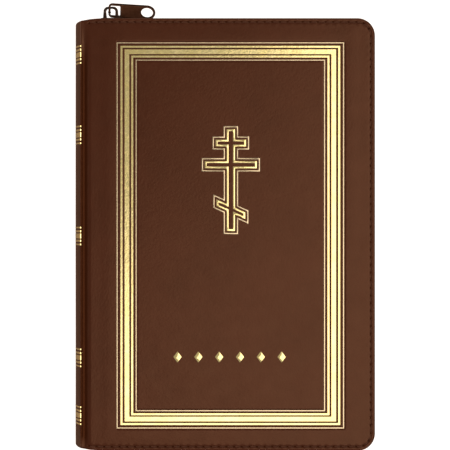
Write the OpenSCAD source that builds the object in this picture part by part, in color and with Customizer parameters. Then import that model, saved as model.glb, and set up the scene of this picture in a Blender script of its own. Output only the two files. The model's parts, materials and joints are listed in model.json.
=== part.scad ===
// A book in a flexible leather case that closes with a zip round head, fore-edge and tail.
// It lies on its back cover: +X runs from spine to fore-edge, +Y from tail to head, +Z up.
// The origin is the centre of the back cover's outer face. Sizes are in millimetres.

/* [Book] */
// Closed width, from the outer face of the spine to the edge of the covers
book_w = 146.3; // [126:0.1:181]
// Height of the covers, from tail to head
book_h = 210; // [180:1:260]
// Closed thickness over both covers
book_t = 36; // [34:0.5:40]
// Radius of the covers' two corners at the fore-edge
corner_r = 8.5; // [6:0.5:10]

/* [Case] */
// Thickness of the outer leather
leather_t = 0.9; // [0.7:0.1:1.1]
// Thickness of the turned edge of a cover
edge_t = 2.4; // [2:0.1:2.8]
// Thickness of the flexible cover boards
board_t = 1.4; // [1:0.1:1.6]
// Thickness of the lining glued inside each cover
lining_t = 0.3; // [0.2:0.1:0.4]
// How far the rounded spine bulges between its two shoulders
spine_bulge = 2.6; // [2.4:0.1:2.8]
// Width of the joint groove between shoulder and cover
groove_w = 3.9; // [3.5:0.1:4.5]
// Depth of the joint groove
groove_d = 1; // [0.6:0.1:1.1]

/* [Stitching] */
// Distance of the stitched row from the edge of the cover
stitch_inset = 2; // [1.8:0.1:2.6]
// Distance from one stitch to the next
stitch_pitch = 3.7; // [3.2:0.1:5]
// Length of one stitch
stitch_l = 2.7; // [2:0.1:3]

/* [Pages] */
// Width of the page block, from its back to its fore-edge
block_w = 130; // [110:1:165]
// Height of the page block
block_h = 196; // [166:1:246]
// Number of page sections in each half of the block
half_sections = 3; // [3:1:3]

/* [Zip] */
// Thickness of the zip's tapes
tape_t = 0.5; // [0.4:0.1:0.6]
// Height of the coil over its tape
coil_h = 1.3; // [1.2:0.1:1.4]
// Width of one coil
coil_w = 2.4; // [2:0.1:2.6]
// Gap between the two coils, which the slider's post runs in
coil_gap = 1.4; // [1.3:0.1:1.6]
// Length of the slider
slider_l = 11.5; // [11:0.5:12]
// Width of the slider's plates
slider_w = 10.4; // [10:0.2:11]

/* [Pull tab] */
// Length of the pull tab
tab_l = 23.1; // [20:0.1:28]
// Width of the pull tab
tab_w = 8.2; // [8:0.1:8.6]
// Thickness of the pull tab
tab_t = 0.9; // [0.8:0.1:0.9]
// Lean of the pull tab about its own length
tab_lean = 40; // [38:1:44]

/* [Foil] */
// Width of the stamped frame, between its outer lines
frame_w = 109.8; // [90:0.2:115]
// Height of the stamped frame, between its outer lines
frame_h = 186.8; // [160:0.2:190]
// Height of the stamped cross
cross_h = 52.4; // [45:0.1:60]

/* [Hidden] */

$fn = 64;
mid_z = book_t / 2;
shift_x = 0.35;      // the origin lies nearer the fore-edge than the spine by twice this
spine_x = -book_w / 2 - shift_x;
air = 0.1;          // gap between pieces that lie on each other
hinge_in = 2;       // distance of the hinge lines from the covers' faces
hinge_x = spine_x + spine_bulge + 0.4;
shoulder_r = 1.1;   // outer radius of the shoulders between spine and groove
shoulder_x = spine_x + spine_bulge - air;
cover_x = hinge_x + groove_w;     // where the covers begin
edge_x = book_w / 2 - shift_x;
edge_y = book_h / 2;
lip_w = 0.8;        // thickness of the turned edge, seen from above
spine_drop = 1.4;   // how much shorter the spine is at head and tail

// Layers of a cover, counted inwards from its outer face
board_z = leather_t + 0.02;
lining_z = board_z + board_t + 0.02;
flyleaf_t = 0.15;
flyleaf_z = lining_z + lining_t + 0.05;
pages_z = flyleaf_z + flyleaf_t + 0.05;

// Page block
block_x = hinge_x + 2;   // the back of the block
block_r = 5;             // its corners at the fore-edge
section_t = (mid_z - pages_z) / half_sections;

// Stitching
stitch_w = 0.55;
channel_w = 1;
channel_d = 0.35;
stitch_from = 0.04;   // depth at which a stitch begins under the leather's face
stitch_r = corner_r - stitch_inset;
stitch_x = cover_x + 0.6;
row_straight = edge_x - corner_r - stitch_x;
row_arc = stitch_r * PI / 2;
row_side = book_h - 2 * corner_r;
stitches = floor((2 * row_straight + 2 * row_arc + row_side) / stitch_pitch);

// Zip: the tapes' walls stand just inside the edges of the covers
zip_y = edge_y - 1.1;      // outer face of the tape along head and tail
zip_x = edge_x - 1.4;      // outer face of the tape along the fore-edge
zip_r = corner_r - 0.5;
zip_start = hinge_x + 8.5;
flange_w = 3;              // the part of the tape that is sewn under the leather
flange_t = 0.4;
fold_gap = 0.02;           // at the tape's folds and at the ends of its straight runs
board_inset = edge_x - zip_x + flange_w + air;   // the boards stop short of the flange
coil_top = mid_z - coil_gap / 2;
stop_l = 1.6;

// Slider, and the crown that stands on its outer plate
slide_gap = 0.25;          // running clearance between slider and chain
slider_x = hinge_x + 9.5;
plate_t = 0.8;
inner_y = zip_y - tape_t - slide_gap - plate_t;
outer_y = zip_y + coil_h + slide_gap;
post_t = 0.8;
crown_y = outer_y + plate_t;
crown_x = hinge_x + 10.5;
crown_l = 7.1;
crown_bar = 1;
crown_w = 1.4;
crown_rise = 4.85;         // clear height under the crown
crown_r = 1.6;

// Pull tab: its end bar turns under the crown
pull_x = crown_x + crown_bar + 2.1;
pull_y = crown_y + 3.15;
tab_turn = -3.6;           // the tab leans towards the chain at rest
tab_off = 1.2;             // the tab hangs off-centre on the crown
tab_bar = 1;
tab_neck_r = 0.75;         // the end bar's round neck, which turns under the crown
tab_slot_l = 4.8;
tab_slot_w = 6;
tab_hole_r = 2.95;

// Foil
foil_t = 0.08;
frame_x = 2.6;             // the stamp sits off-centre, clear of the joint
frame_y = -0.45;
frame_lines = [[0, 0.55], [2.1, 1], [4.75, 2.3], [7.3, 1], [9.2, 0.55]];   // [inset, width]
frame_squeeze = 0.91;      // the lines stand closer together at head and tail
cross_x = 2.8;
cross_y = 0.2;             // foot of the cross
cross_bar = 6.5;
cross_post = 7;
cross_slope = 24.5;
cross_outline = 0.6;
cross_inline = 0.9;
cross_inset = 1.5;
lozenges = 6;
lozenge_pitch = 10.1;
lozenge_x = 2.2;
lozenge_y = -59.4;
lozenge_w = 4;
lozenge_h = 5.4;
band_places = [0.416, 0.2305, -0.0035, -0.285, -0.4185];                  // as shares of book_h
band_lines = [[-4.1, 0.75], [-2.3, 1], [0, 2.4], [2.3, 1], [4.1, 0.75]];  // [place, width]

leather_colour = "#4e2a1e";
dark_leather = "#3a1d12";
paper_colour = "#f1ead8";
gold_colour = "#d9c480";
metal_colour = "#3b2a20";
tape_colour = "#38241b";

// ---------- shared shapes ----------

// A plate's outline with square corners at x_from and round ones at x_to
module outline(x_from, x_to, half_y, r) {
    translate([x_from, -half_y]) square([x_to - r - x_from, 2 * half_y]);
    translate([x_from, r - half_y]) square([x_to - x_from, 2 * (half_y - r)]);
    for (side = [-1, 1])
        translate([x_to - r, side * (half_y - r)]) circle(r);
}

module cover_outline(inset, x_from = cover_x) {
    outline(x_from, edge_x - inset, edge_y - inset, corner_r - inset);
}

// The zip's line, moved outwards by out
module zip_outline(out) {
    outline(zip_start, zip_x + out, zip_y + out, zip_r + out);
}

// A strip that follows the zip's line from out_a to out_b, open at the spine
module zip_strip(out_a, out_b) {
    difference() {
        zip_outline(out_b);
        translate([-1, 0]) outline(zip_start, zip_x + out_a + 1, zip_y + out_a, zip_r + out_a);
    }
}

// Turns a piece of the back cover over into its twin on the front cover
module on_front() {
    translate([0, 0, book_t]) mirror([0, 0, 1]) children();
}

// [x, y, angle] at distance s along the stitched row, from head to tail
function row_at(s) =
    s < row_straight ? [stitch_x + s, edge_y - stitch_inset, 0] :
    s < row_straight + row_arc ? corner_at(s - row_straight, 1) :
    s < row_straight + row_arc + row_side ?
        [edge_x - stitch_inset, row_side / 2 - (s - row_straight - row_arc), -90] :
    s < row_straight + 2 * row_arc + row_side ?
        corner_at(row_straight + 2 * row_arc + row_side - s, -1) :
    [edge_x - corner_r - (s - row_straight - 2 * row_arc - row_side), stitch_inset - edge_y, 180];

// The same in a corner, at distance s from the end that joins the head or the tail
function corner_at(s, side) =
    let (turn = s / stitch_r * 180 / PI)
    [edge_x - corner_r + stitch_r * sin(turn), side * (row_side / 2 + stitch_r * cos(turn)), -side * turn];

// ---------- case ----------

module cover_leather() {
    difference() {
        union() {
            linear_extrude(leather_t) cover_outline(0);
            linear_extrude(edge_t) difference() {
                cover_outline(0);
                cover_outline(lip_w, cover_x - 1);
            }
        }
        translate([0, 0, -1]) linear_extrude(1 + channel_d) difference() {
            cover_outline(stitch_inset - channel_w / 2, stitch_x - 0.4);
            cover_outline(stitch_inset + channel_w / 2, cover_x - 1);
        }
    }
}

module stitch_row() {
    for (i = [0 : stitches - 1]) {
        at = row_at((i + 0.5) * stitch_pitch);
        translate([at[0], at[1], stitch_from + (channel_d - stitch_from - 0.02) / 2])
            rotate(at[2])
                cube([stitch_l, stitch_w, channel_d - stitch_from - 0.02], center = true);
    }
}

// Extrudes a shape drawn with x across the book and y up its thickness, over the height of the spine
module along_spine(shorter = 0) {
    half = edge_y - spine_drop - shorter;
    translate([0, half, 0]) rotate([90, 0, 0]) linear_extrude(2 * half) children();
}

// The leather that bends at a hinge line: the shoulder's quarter round and the groove's floor
module joint_leather() {
    riser_x = hinge_x + 0.6;
    along_spine() {
        intersection() {
            translate([shoulder_x + shoulder_r, shoulder_r]) difference() {
                circle(shoulder_r);
                circle(shoulder_r - leather_t);
            }
            translate([shoulder_x, 0]) square(shoulder_r);
        }
        translate([shoulder_x, shoulder_r]) square([leather_t, hinge_in - shoulder_r]);
        translate([shoulder_x + shoulder_r, 0]) square([riser_x - shoulder_x - shoulder_r, leather_t]);
        translate([riser_x, 0]) square([0.5, groove_d + leather_t]);
        translate([riser_x, groove_d]) square([cover_x - riser_x - 0.05, leather_t]);
    }
}

// A layer of the rounded spine, from depth out to depth in under its face, between two heights
module spine_layer(out, in, z_from) {
    r = ((mid_z - hinge_in) * (mid_z - hinge_in) / spine_bulge + spine_bulge) / 2;
    intersection() {
        translate([spine_x + r, mid_z]) difference() {
            circle(r - out, $fn = 720);
            circle(r - in, $fn = 720);
        }
        translate([spine_x - 1, z_from]) square([2 * spine_bulge + 1, book_t - 2 * z_from]);
    }
}

module board() {
    translate([0, 0, board_z]) linear_extrude(board_t)
        outline(cover_x + 0.5, edge_x - board_inset, edge_y - board_inset, corner_r - 3);
}

module lining() {
    translate([0, 0, lining_z]) linear_extrude(lining_t)
        outline(cover_x + 0.2, zip_x - tape_t - air, zip_y - tape_t - air, zip_r - tape_t - air);
}

module flyleaf() {
    translate([0, 0, flyleaf_z]) linear_extrude(flyleaf_t)
        outline(block_x + 0.1, block_x + block_w, block_h / 2, block_r);
}

// ---------- pages ----------

// Section 1 lies on the back cover's flyleaf, and the others on it
module section(level) {
    translate([0, 0, pages_z + (level - 1) * section_t]) linear_extrude(section_t - 0.15)
        outline(block_x, block_x + block_w, block_h / 2, block_r);
}

module end_band(side) {
    translate([block_x, side * (block_h / 2 + 0.9), pages_z]) {
        cylinder(r = 0.8, h = book_t - 2 * pages_z);
        translate([-0.15, -0.35, 0]) cube([1.8, 0.7, book_t - 2 * pages_z]);
    }
}

// ---------- zip ----------

// The part of the plan that holds one straight run or one corner of the zip's line
module zip_area(area) {
    run_x = zip_x - zip_r;
    run_y = zip_y - zip_r;
    if (area == "head") translate([-book_h, 0]) square([book_h + run_x - fold_gap, book_h]);
    if (area == "tail") translate([-book_h, -book_h]) square([book_h + run_x - fold_gap, book_h]);
    if (area == "fore_edge") translate([run_x, fold_gap - run_y]) square([book_h, 2 * (run_y - fold_gap)]);
    if (area == "head_corner") translate([run_x, run_y]) square(book_h);
    if (area == "tail_corner") translate([run_x, -run_y - book_h]) square(book_h);
}

// The tape stands as a wall round head, fore-edge and tail. Its flange is notched out at the corners.
module zip_tape() {
    translate([0, 0, board_z]) {
        linear_extrude(flange_t) for (area = ["head", "fore_edge", "tail"])
            intersection() {
                zip_strip(-flange_w, -tape_t - fold_gap);
                zip_area(area);
            }
        linear_extrude(coil_top - board_z)
            for (area = ["head", "head_corner", "fore_edge", "tail_corner", "tail"])
                intersection() {
                    zip_strip(-tape_t, 0);
                    zip_area(area);
                }
    }
}

module zip_coil() {
    translate([0, 0, coil_top - coil_w]) linear_extrude(coil_w)
        intersection() {
            zip_strip(0, coil_h);
            translate([zip_start + stop_l, -book_h]) square([book_w, 2 * book_h]);
        }
}

// One crimped stop at each end of a coil
module zip_stops() {
    for (side = [-1, 1])
        translate([zip_start, side * (zip_y + coil_h / 2) - coil_h / 2, coil_top - coil_w])
            cube([stop_l - 0.02, coil_h, coil_w]);
}

module slider_plate() {
    taper = 1.6;
    polygon([
        [0, -slider_w / 2 + 0.8], [0.8, -slider_w / 2], [slider_l * 0.55, -slider_w / 2],
        [slider_l - 0.6, taper - slider_w / 2], [slider_l, taper + 0.6 - slider_w / 2],
        [slider_l, slider_w / 2 - taper - 0.6], [slider_l - 0.6, slider_w / 2 - taper],
        [slider_l * 0.55, slider_w / 2], [0.8, slider_w / 2], [0, slider_w / 2 - 0.8]
    ]);
}

// Puts a shape drawn with x along the chain and y up the thickness onto a plate's inner face
module on_wall(y) {
    translate([slider_x, y, mid_z]) rotate([90, 0, 0]) mirror([0, 0, 1]) children();
}

// ---------- nodes ----------

module front_cover_leather() {
    color(leather_colour) on_front() cover_leather();
}

module back_cover_leather() {
    color(leather_colour) cover_leather();
}

module spine_leather() {
    color(leather_colour) along_spine() spine_layer(0, leather_t, hinge_in + 0.05);
}

module front_joint_leather() {
    color(dark_leather) on_front() joint_leather();
}

module back_joint_leather() {
    color(dark_leather) joint_leather();
}

module front_board() {
    color("#8a8378") on_front() board();
}

module back_board() {
    color("#8a8378") board();
}

module spine_stiffener() {
    color("#8a8378") along_spine(3) spine_layer(leather_t + 0.02, leather_t + 0.6, hinge_in + 1);
}

module front_lining() {
    color("#4a3024") on_front() lining();
}

module back_lining() {
    color("#4a3024") lining();
}

module front_flyleaf() {
    color(paper_colour) on_front() flyleaf();
}

module back_flyleaf() {
    color(paper_colour) flyleaf();
}

module front_stitching() {
    color("#2c120a") on_front() stitch_row();
}

module back_stitching() {
    color("#2c120a") stitch_row();
}

// Sections 1 to 3 belong to the front half of the block, and 4 to 6 to the back half
module pages(number) {
    color(paper_colour)
        if (number <= half_sections) on_front() section(number);
        else section(2 * half_sections + 1 - number);
}

module spine_mull() {
    color("#cfc8b8") translate([block_x - 0.45, 5 - block_h / 2, pages_z + 0.5])
        cube([0.3, block_h - 10, book_t - 2 * pages_z - 1]);
}

module headband() {
    color("#c9b37a") end_band(1);
}

module tailband() {
    color("#c9b37a") end_band(-1);
}

module front_zip_tape() {
    color(tape_colour) on_front() zip_tape();
}

module back_zip_tape() {
    color(tape_colour) zip_tape();
}

module front_zip_coil() {
    color("#4a3226") on_front() zip_coil();
}

module back_zip_coil() {
    color("#4a3226") zip_coil();
}

module front_zip_stops() {
    color(metal_colour) on_front() zip_stops();
}

module back_zip_stops() {
    color(metal_colour) zip_stops();
}

// Two plates, the post between them at the mouth, and the lip that holds the back coil.
// The lip on the front coil's side is left off, so that the front half can lift out.
module slider_body() {
    lip_z = coil_top - coil_w - slide_gap - 1.2 - mid_z;
    color(metal_colour) union() {
        on_wall(inner_y) linear_extrude(plate_t) slider_plate();
        on_wall(outer_y) linear_extrude(plate_t) slider_plate();
        on_wall(inner_y + plate_t - 0.1) linear_extrude(outer_y - inner_y - plate_t + 0.2)
            translate([0.8, -post_t / 2]) square([2.4, post_t]);
        on_wall(zip_y + slide_gap + 0.2) linear_extrude(outer_y - zip_y - slide_gap)
            translate([1, lip_z]) square([slider_l * 0.5, 1.2]);
    }
}

module slider_crown() {
    color(metal_colour) translate([crown_x, crown_y, mid_z - crown_w / 2]) linear_extrude(crown_w)
        difference() {
            arch(crown_l, crown_rise + crown_bar, crown_r + crown_bar);
            translate([crown_bar, -0.01]) arch(crown_l - 2 * crown_bar, crown_rise + 0.01, crown_r);
        }
}

// An upright rectangle with its two upper corners rounded
module arch(w, h, r) {
    square([w, h - r]);
    translate([r, 0]) square([w - 2 * r, h]);
    for (x = [r, w - r])
        translate([x, h - r]) circle(r);
}

// Flat strip with a slot for the crown at one end and a large round hole at the other
module tab_shape() {
    r = tab_w / 2;
    end_r = 2;
    difference() {
        union() {
            translate([end_r - tab_bar / 2, -r]) square([tab_l - r - end_r, tab_w]);
            translate([-tab_bar / 2, end_r - r]) square([tab_l - r, tab_w - 2 * end_r]);
            for (side = [-1, 1])
                translate([end_r - tab_bar / 2, side * (r - end_r)]) circle(end_r);
            translate([tab_l - r - tab_bar / 2, 0]) circle(r);
        }
        translate([tab_bar / 2, -tab_slot_w / 2]) square([tab_slot_l, tab_slot_w]);
        translate([tab_l - r - tab_bar / 2, 0]) circle(tab_hole_r);
    }
}

module pull_tab() {
    color(metal_colour) translate([pull_x, pull_y, mid_z]) union() {
        rotate([0, 0, tab_turn]) rotate([tab_lean, 0, 0]) translate([0, tab_off, -tab_t / 2])
            linear_extrude(tab_t) tab_shape();
        cylinder(r = tab_neck_r, h = crown_w, center = true);
    }
}

module foil_frame() {
    color(gold_colour) translate([frame_x, frame_y, book_t]) linear_extrude(foil_t)
        for (line = frame_lines)
            difference() {
                square([frame_w - 2 * line[0] + line[1], frame_h - 2 * frame_squeeze * line[0] + line[1]],
                    center = true);
                square([frame_w - 2 * line[0] - line[1], frame_h - 2 * frame_squeeze * line[0] - line[1]],
                    center = true);
            }
}

// The eight-pointed cross's outline, drawn in by inset; its foot is at y = 0
module cross_shape(inset) {
    slope = tan(cross_slope);
    half = cross_bar / 2 - inset / cos(cross_slope);
    reach = 8.5 - inset;
    translate([0, cross_h / 2]) square([cross_post - 2 * inset, cross_h - 2 * inset], center = true);
    translate([0, 0.843 * cross_h]) square([17.7 - 2 * inset, 6.3 - 2 * inset], center = true);
    translate([0, 0.642 * cross_h]) square([28.2 - 2 * inset, cross_bar - 2 * inset], center = true);
    translate([0, 0.231 * cross_h]) polygon([
        [-reach, reach * slope - half], [reach, -reach * slope - half],
        [reach, half - reach * slope], [-reach, half + reach * slope]
    ]);
}

module foil_cross() {
    color(gold_colour) translate([cross_x, cross_y, book_t]) linear_extrude(foil_t) {
        difference() {
            cross_shape(0);
            cross_shape(cross_outline);
        }
        difference() {
            cross_shape(cross_inset);
            cross_shape(cross_inset + cross_inline);
        }
    }
}

module foil_ornaments() {
    color(gold_colour) translate([lozenge_x, lozenge_y, book_t]) linear_extrude(foil_t)
        for (i = [0 : lozenges - 1])
            translate([(i - (lozenges - 1) / 2) * lozenge_pitch, 0])
                polygon([[-lozenge_w / 2, 0], [0, -lozenge_h / 2], [lozenge_w / 2, 0], [0, lozenge_h / 2]]);
}

module spine_foil_bands() {
    color(gold_colour) for (place = band_places, line = band_lines)
        translate([0, place * book_h + line[0] + line[1] / 2, 0]) rotate([90, 0, 0])
            linear_extrude(line[1]) spine_layer(-foil_t, 0, hinge_in + 0.2);
}

front_cover_leather();
back_cover_leather();
spine_leather();
front_joint_leather();
back_joint_leather();
front_board();
back_board();
spine_stiffener();
front_lining();
back_lining();
front_flyleaf();
back_flyleaf();
front_stitching();
back_stitching();
pages(1);  // pages_1
pages(2);  // pages_2
pages(3);  // pages_3
pages(4);  // pages_4
pages(5);  // pages_5
pages(6);  // pages_6
spine_mull();
headband();
tailband();
front_zip_tape();
back_zip_tape();
front_zip_coil();
back_zip_coil();
front_zip_stops();
back_zip_stops();
slider_body();
slider_crown();
pull_tab();
foil_frame();
foil_cross();
foil_ornaments();
spine_foil_bands();
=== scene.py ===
"""Looks of the zip-up leather book: leather case, foil, stitches, zip, slider, pull tab and page block.

Lengths are in millimetres, in the frame of the CAD model, and become metres in build().
"""

import json
import math

import bpy
import numpy as np
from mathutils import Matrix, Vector
from mathutils.geometry import delaunay_2d_cdt, tessellate_polygon


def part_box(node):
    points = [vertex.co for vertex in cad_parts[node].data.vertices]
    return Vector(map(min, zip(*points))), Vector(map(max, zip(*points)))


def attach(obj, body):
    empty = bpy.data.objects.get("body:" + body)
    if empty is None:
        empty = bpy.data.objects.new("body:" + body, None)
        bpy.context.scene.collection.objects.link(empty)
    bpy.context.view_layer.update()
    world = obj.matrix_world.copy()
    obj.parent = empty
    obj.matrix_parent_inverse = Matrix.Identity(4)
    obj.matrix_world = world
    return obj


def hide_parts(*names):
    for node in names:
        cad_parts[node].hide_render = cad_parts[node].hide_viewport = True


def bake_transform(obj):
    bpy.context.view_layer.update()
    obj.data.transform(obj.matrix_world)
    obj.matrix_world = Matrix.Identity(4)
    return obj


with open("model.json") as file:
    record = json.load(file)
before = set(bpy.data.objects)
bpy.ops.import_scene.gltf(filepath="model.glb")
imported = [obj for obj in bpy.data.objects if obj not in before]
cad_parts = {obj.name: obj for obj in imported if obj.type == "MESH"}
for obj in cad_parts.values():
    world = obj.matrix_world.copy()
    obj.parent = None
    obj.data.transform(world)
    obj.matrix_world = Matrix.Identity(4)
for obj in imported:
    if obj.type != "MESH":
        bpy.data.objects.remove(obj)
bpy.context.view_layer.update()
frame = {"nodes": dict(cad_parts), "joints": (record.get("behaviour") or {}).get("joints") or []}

MM = 1000.0
rng = np.random.default_rng(7)


def corners(node):
    """Lowest and highest corner of a CAD node, in millimetres."""
    low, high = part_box(node)
    return np.array(low) * MM, np.array(high) * MM


def joint_place(name):
    """A point on a joint's axis, in millimetres."""
    return np.array(next(j for j in frame["joints"] if j["name"] == name)["pos_m"]) * MM


def smooth(t):
    """0 to 1, with soft ends."""
    t = np.clip(t, 0.0, 1.0)
    return t * t * (3 - 2 * t)


def bell(distance, width, power=2):
    """1 at no distance, falling off over a width."""
    return np.exp(-(distance / width) ** power)


def joined(*parts):
    """Coordinates as one array of points."""
    return np.stack(np.broadcast_arrays(*parts), -1)


def unit(v):
    return v / np.linalg.norm(v, axis=-1, keepdims=True)


# ---------- sizes from the frame ----------

cover_low, cover_high = corners("front_cover_leather")
COVER_X, (EDGE_X, EDGE_Y, TOP) = cover_low[0], cover_high
MID = TOP / 2
hinge = joint_place("front_joint")
HINGE_X, HINGE_IN = hinge[0], TOP - hinge[2]
SPINE_X = corners("spine_leather")[0][0]
CORNER_R = 8.5
LEATHER_T = 0.9
LINE_WALL = 0.12  # width of the sloped wall round a stamped line

# ---------- mesh building ----------


class Shape:
    """Vertices, faces, UVs and a value per vertex, for one object."""

    def __init__(self):
        self.points, self.uvs, self.faces, self.groups, self.values = [], [], [], [], []
        self.count = 0

    def add(self, points, faces, uvs=None, group=0, values=None):
        points = np.asarray(points, float).reshape(-1, 3)
        flat = points[:, :2] if uvs is None else np.asarray(uvs, float).reshape(-1, 2)
        shade = np.zeros(len(points)) if values is None else np.asarray(values, float).ravel()
        self.points.append(points)
        self.uvs.append(flat)
        self.values.append(shade)
        self.faces += [tuple(int(i) + self.count for i in f) for f in faces]
        self.groups += [group] * len(faces)
        self.count += len(points)
        return self.count - len(points)

    def face(self, corner_indices, group=0):
        self.faces.append(tuple(int(i) for i in corner_indices))
        self.groups.append(group)

    def build(self, name, paints, soft_angle=40):
        points = np.concatenate(self.points) / MM
        mesh = bpy.data.meshes.new(name)
        mesh.from_pydata(points.tolist(), [], self.faces)
        mesh.update()
        loops = np.zeros(len(mesh.loops), np.int32)
        mesh.loops.foreach_get("vertex_index", loops)
        layer = mesh.uv_layers.new(name="Flat")
        layer.data.foreach_set("uv", (np.concatenate(self.uvs)[loops] / MM).ravel())
        # Per point: painted shade and wear on the leather, duller thin lines on the foil.
        shade = mesh.attributes.new("burnish", "FLOAT", "POINT")
        shade.data.foreach_set("value", np.concatenate(self.values).astype(np.float32))
        for m in paints:
            mesh.materials.append(m)
        mesh.polygons.foreach_set("material_index", self.groups)
        mesh.polygons.foreach_set("use_smooth", [True] * len(mesh.polygons))
        mesh.set_sharp_from_angle(angle=math.radians(soft_angle))
        obj = bpy.data.objects.new(name, mesh)
        bpy.context.scene.collection.objects.link(obj)
        return obj


def grid_faces(rows, columns, wrap_rows=False, wrap_columns=False, flip=False):
    """Quads over a lattice of vertices stored row by row."""
    r = np.arange(rows if wrap_rows else rows - 1)
    c = np.arange(columns if wrap_columns else columns - 1)
    r, c = [a.ravel() for a in np.meshgrid(r, c, indexing="ij")]
    r2, c2 = (r + 1) % rows, (c + 1) % columns
    quads = np.stack([r * columns + c, r * columns + c2, r2 * columns + c2, r2 * columns + c], 1)
    return quads[:, ::-1] if flip else quads


def sweep(shape, sections, closed=False, uvs=None, group=0, caps=True, flip=False):
    """Skin over cross-sections: stations x points of a closed ring x 3."""
    stations, ring = sections.shape[:2]
    first = shape.add(sections, grid_faces(stations, ring, closed, True, flip), uvs, group)
    if caps and not closed:
        ends = [list(range(ring - 1, -1, -1)), list(range((stations - 1) * ring, stations * ring))]
        for end in ends:
            shape.face((first + i for i in (end[::-1] if flip else end)), group)


MITRE_LIMIT = 0.4  # smallest cosine that a mitre allows for


def offset_loop(loop, by):
    """A closed loop moved to its left, with mitred corners."""
    p = np.asarray(loop, float)
    left = [unit(np.stack([-d[:, 1], d[:, 0]], 1)) for d in (p - np.roll(p, 1, 0), np.roll(p, -1, 0) - p)]
    half = unit(left[0] + left[1])
    return p + half * (by / np.maximum(MITRE_LIMIT, (half * left[0]).sum(1)))[:, None]


def facing(tri, points, up=True):
    """A triangle's corners, ordered to face up, or down, in plan."""
    a, b, c = (points[i].xy for i in tri)
    return tri if ((b - a).cross(c - a) > 0) == up else tri[::-1]


BEVEL_STEPS = [(1.0, 0.0), (0.3, 0.3), (0.0, 1.0)]  # inwards and up, as shares of the bevel


def slab(shape, loops, low, high, bevel, place, face_group=0, side_group=0):
    """A flat plate with rounded edges. loops[0] runs anticlockwise and holes run clockwise."""
    levels = [(o * bevel, low + z * bevel) for o, z in BEVEL_STEPS]
    levels += [(o * bevel, high - z * bevel) for o, z in BEVEL_STEPS[::-1]]
    rims = []
    for loop in loops:
        n = len(loop)
        rows = [np.c_[offset_loop(loop, o), np.full(n, z)] for o, z in levels]
        flat = np.concatenate(rows)
        first = shape.add(place(flat), grid_faces(len(rows), n, False, True), flat[:, :2], side_group)
        rims.append((first, n, len(rows), rows[0]))
    polygons = [[Vector((x, y, 0)) for x, y, _ in rim[3]] for rim in rims]
    index = [(rim[0] + i, rim[0] + (rim[2] - 1) * rim[1] + i) for rim in rims for i in range(rim[1])]
    flat = [v for polygon in polygons for v in polygon]
    for tri in tessellate_polygon(polygons):
        order = facing(tri, flat)
        shape.face((index[i][1] for i in order), face_group)
        shape.face((index[i][0] for i in order[::-1]), face_group)


def arc(cx, cy, r, start, end, steps):
    """Points on an arc, between two angles in degrees."""
    t = np.radians(np.linspace(start, end, steps))
    return np.stack([cx + r * np.cos(t), cy + r * np.sin(t)], 1)


def box_loop(x_from, x_to, y_from, y_to):
    return [(x_from, y_from), (x_to, y_from), (x_to, y_to), (x_from, y_to)]


def mirror_z(points, front):
    """The points, turned over to the back cover's side unless they're the front's."""
    points = np.array(points)
    if not front:
        points[..., 2] = TOP - points[..., 2]
    return points


# ---------- the case's leather ----------

SPINE_BULGE = 2.6
SHOULDER_R = 1.1
SPINE_R = ((MID - HINGE_IN) ** 2 / SPINE_BULGE + SPINE_BULGE) / 2
SHOULDER_TURN = math.asin((TOP - MID - SHOULDER_R) / (SPINE_R - SHOULDER_R))
SHOULDER_END_X = SPINE_X + SPINE_R * (1 - math.cos(SHOULDER_TURN)) + SHOULDER_R * math.cos(SHOULDER_TURN)
SHOULDER_FROM = SPINE_R * SHOULDER_TURN  # lengths along the section, from the spine's middle
SHOULDER_TO = SHOULDER_FROM + SHOULDER_R * (math.pi / 2 - SHOULDER_TURN)
GROOVE_DEPTH = 0.75
GROOVE = tuple(HINGE_X + d for d in (0.1, 2.3, 2.5, 5.5))  # where it begins, is deep, rises and ends
GROOVE_SHADE_PLACES = tuple(HINGE_X + d for d in (-1.9, 0.7, 3.1, 5.6))  # the same places of the painted shade in and beside it
HEAD_RUN_OUT = (0.85, 24, 20)  # share of the groove lost, from where, over what length
TAIL_RUN_OUT = (0.6, 8, 7)
FACE_FROM = GROOVE[3] + 0.3  # where the cover's flat face begins
END_DROPS = (1.6, 1.15, 0.45, 0.14, 0)  # how far the ends fall back, from the spine outwards
END_DROP_PLACES = (5, 8.5, 11.5)  # the last three's places, from the hinge
END_DROP_FROM, END_DROP_LENGTH = 84, 18  # where it sets in along the book
SEAM_Z = 2.6  # where the front and back leather meet, low on the spine
STITCH_INSET = 2.0
STITCH_X = COVER_X + 0.6
STAMP_DEPTH = 0.14
FOIL_RISE = 0.06  # foil above the floor of its stamp
STAMP_LINES = ((0, 0.55), (2.1, 1.0), (4.75, 2.3), (7.3, 1.0), (9.2, 0.55))  # inset and width of each line
THIN_LINE = 0.8  # lines narrower than this took the foil less well
STAMP_SQUEEZE = 0.91  # the lines stand closer together at head and tail
frame_low, frame_high = corners("foil_frame")
STAMP_X, STAMP_Y = (frame_low + frame_high)[:2] / 2
STAMP_W, STAMP_H = (frame_high - frame_low)[:2] - STAMP_LINES[0][1]


def along(x):
    """Length along the section of a point on the cover's flat face."""
    return SHOULDER_TO + x - SHOULDER_END_X


def section(s):
    """Point and outward normal of the case's section, by length from the spine's middle."""
    s = np.asarray(s, float)
    turn = np.where(s < SHOULDER_FROM, s / SPINE_R, SHOULDER_TURN + (s - SHOULDER_FROM) / SHOULDER_R)
    turn = np.minimum(turn, math.pi / 2)
    r = np.where(s < SHOULDER_FROM, SPINE_R, SHOULDER_R)
    cx = np.where(s < SHOULDER_FROM, SPINE_X + SPINE_R, SHOULDER_END_X)
    cz = np.where(s < SHOULDER_FROM, MID, TOP - SHOULDER_R)
    x = cx - r * np.cos(turn) + np.maximum(0, s - SHOULDER_TO)
    return x, cz + r * np.sin(turn), -np.cos(turn), np.sin(turn)


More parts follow.
